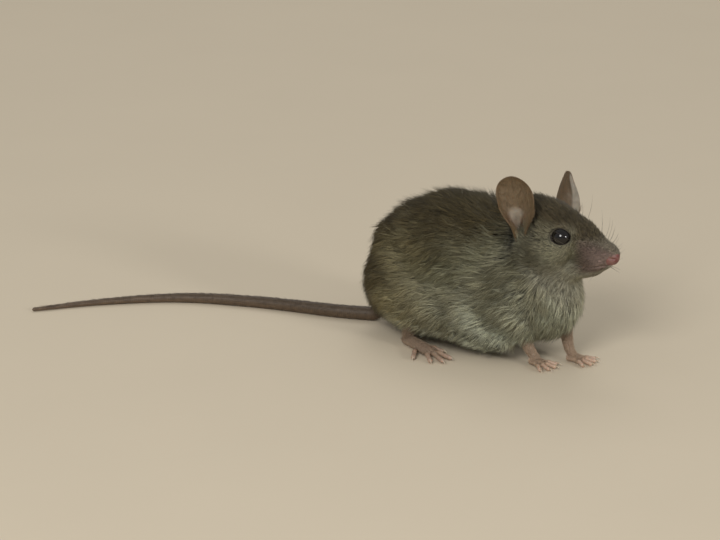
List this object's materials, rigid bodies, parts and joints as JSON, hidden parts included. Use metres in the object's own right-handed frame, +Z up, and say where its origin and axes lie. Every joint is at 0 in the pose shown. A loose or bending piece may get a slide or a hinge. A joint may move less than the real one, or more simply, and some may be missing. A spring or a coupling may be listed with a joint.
{
  "type": "house mouse",
  "caption": "Life-size house mouse standing still on all four feet, back arched, ears raised, with the tail laid out on the floor behind it.",
  "frame": {"origin": "centre of the overall box at floor level, under the loin", "axes": "+X towards the nose, +Y to the mouse's left, +Z up"},
  "size_m": [0.1188, 0.0565, 0.0392],
  "materials": {
    "coat": "short agouti fur, grey-brown above and paler grey-buff below, matte",
    "nose": "bare pink-brown skin, slightly moist",
    "ear_skin": "thin, nearly bare grey-brown skin",
    "eye": "glossy black",
    "foot_skin": "sparsely haired pink-grey skin",
    "tail_skin": "ringed scaly skin, grey-brown",
    "claw": "pale horn",
    "whisker": "fine dark bristle"
  },
  "bodies": {
    "root": {"abdomen": "coat", "haunch_left": "coat", "haunch_right": "coat", "chest": "coat", "neck": "coat", "head": "coat", "nose": "nose", "ear_left": "ear_skin", "ear_right": "ear_skin", "eye_left": "eye", "eye_right": "eye", "forearm_left": "foot_skin", "forearm_right": "foot_skin", "forepaw_left": "foot_skin", "forepaw_right": "foot_skin", "hindfoot_left": "foot_skin", "hindfoot_right": "foot_skin", "tail_base": "tail_skin", "tail_middle": "tail_skin", "tail_rear": "tail_skin", "tail_tip": "tail_skin"}
  },
  "joints": []
}
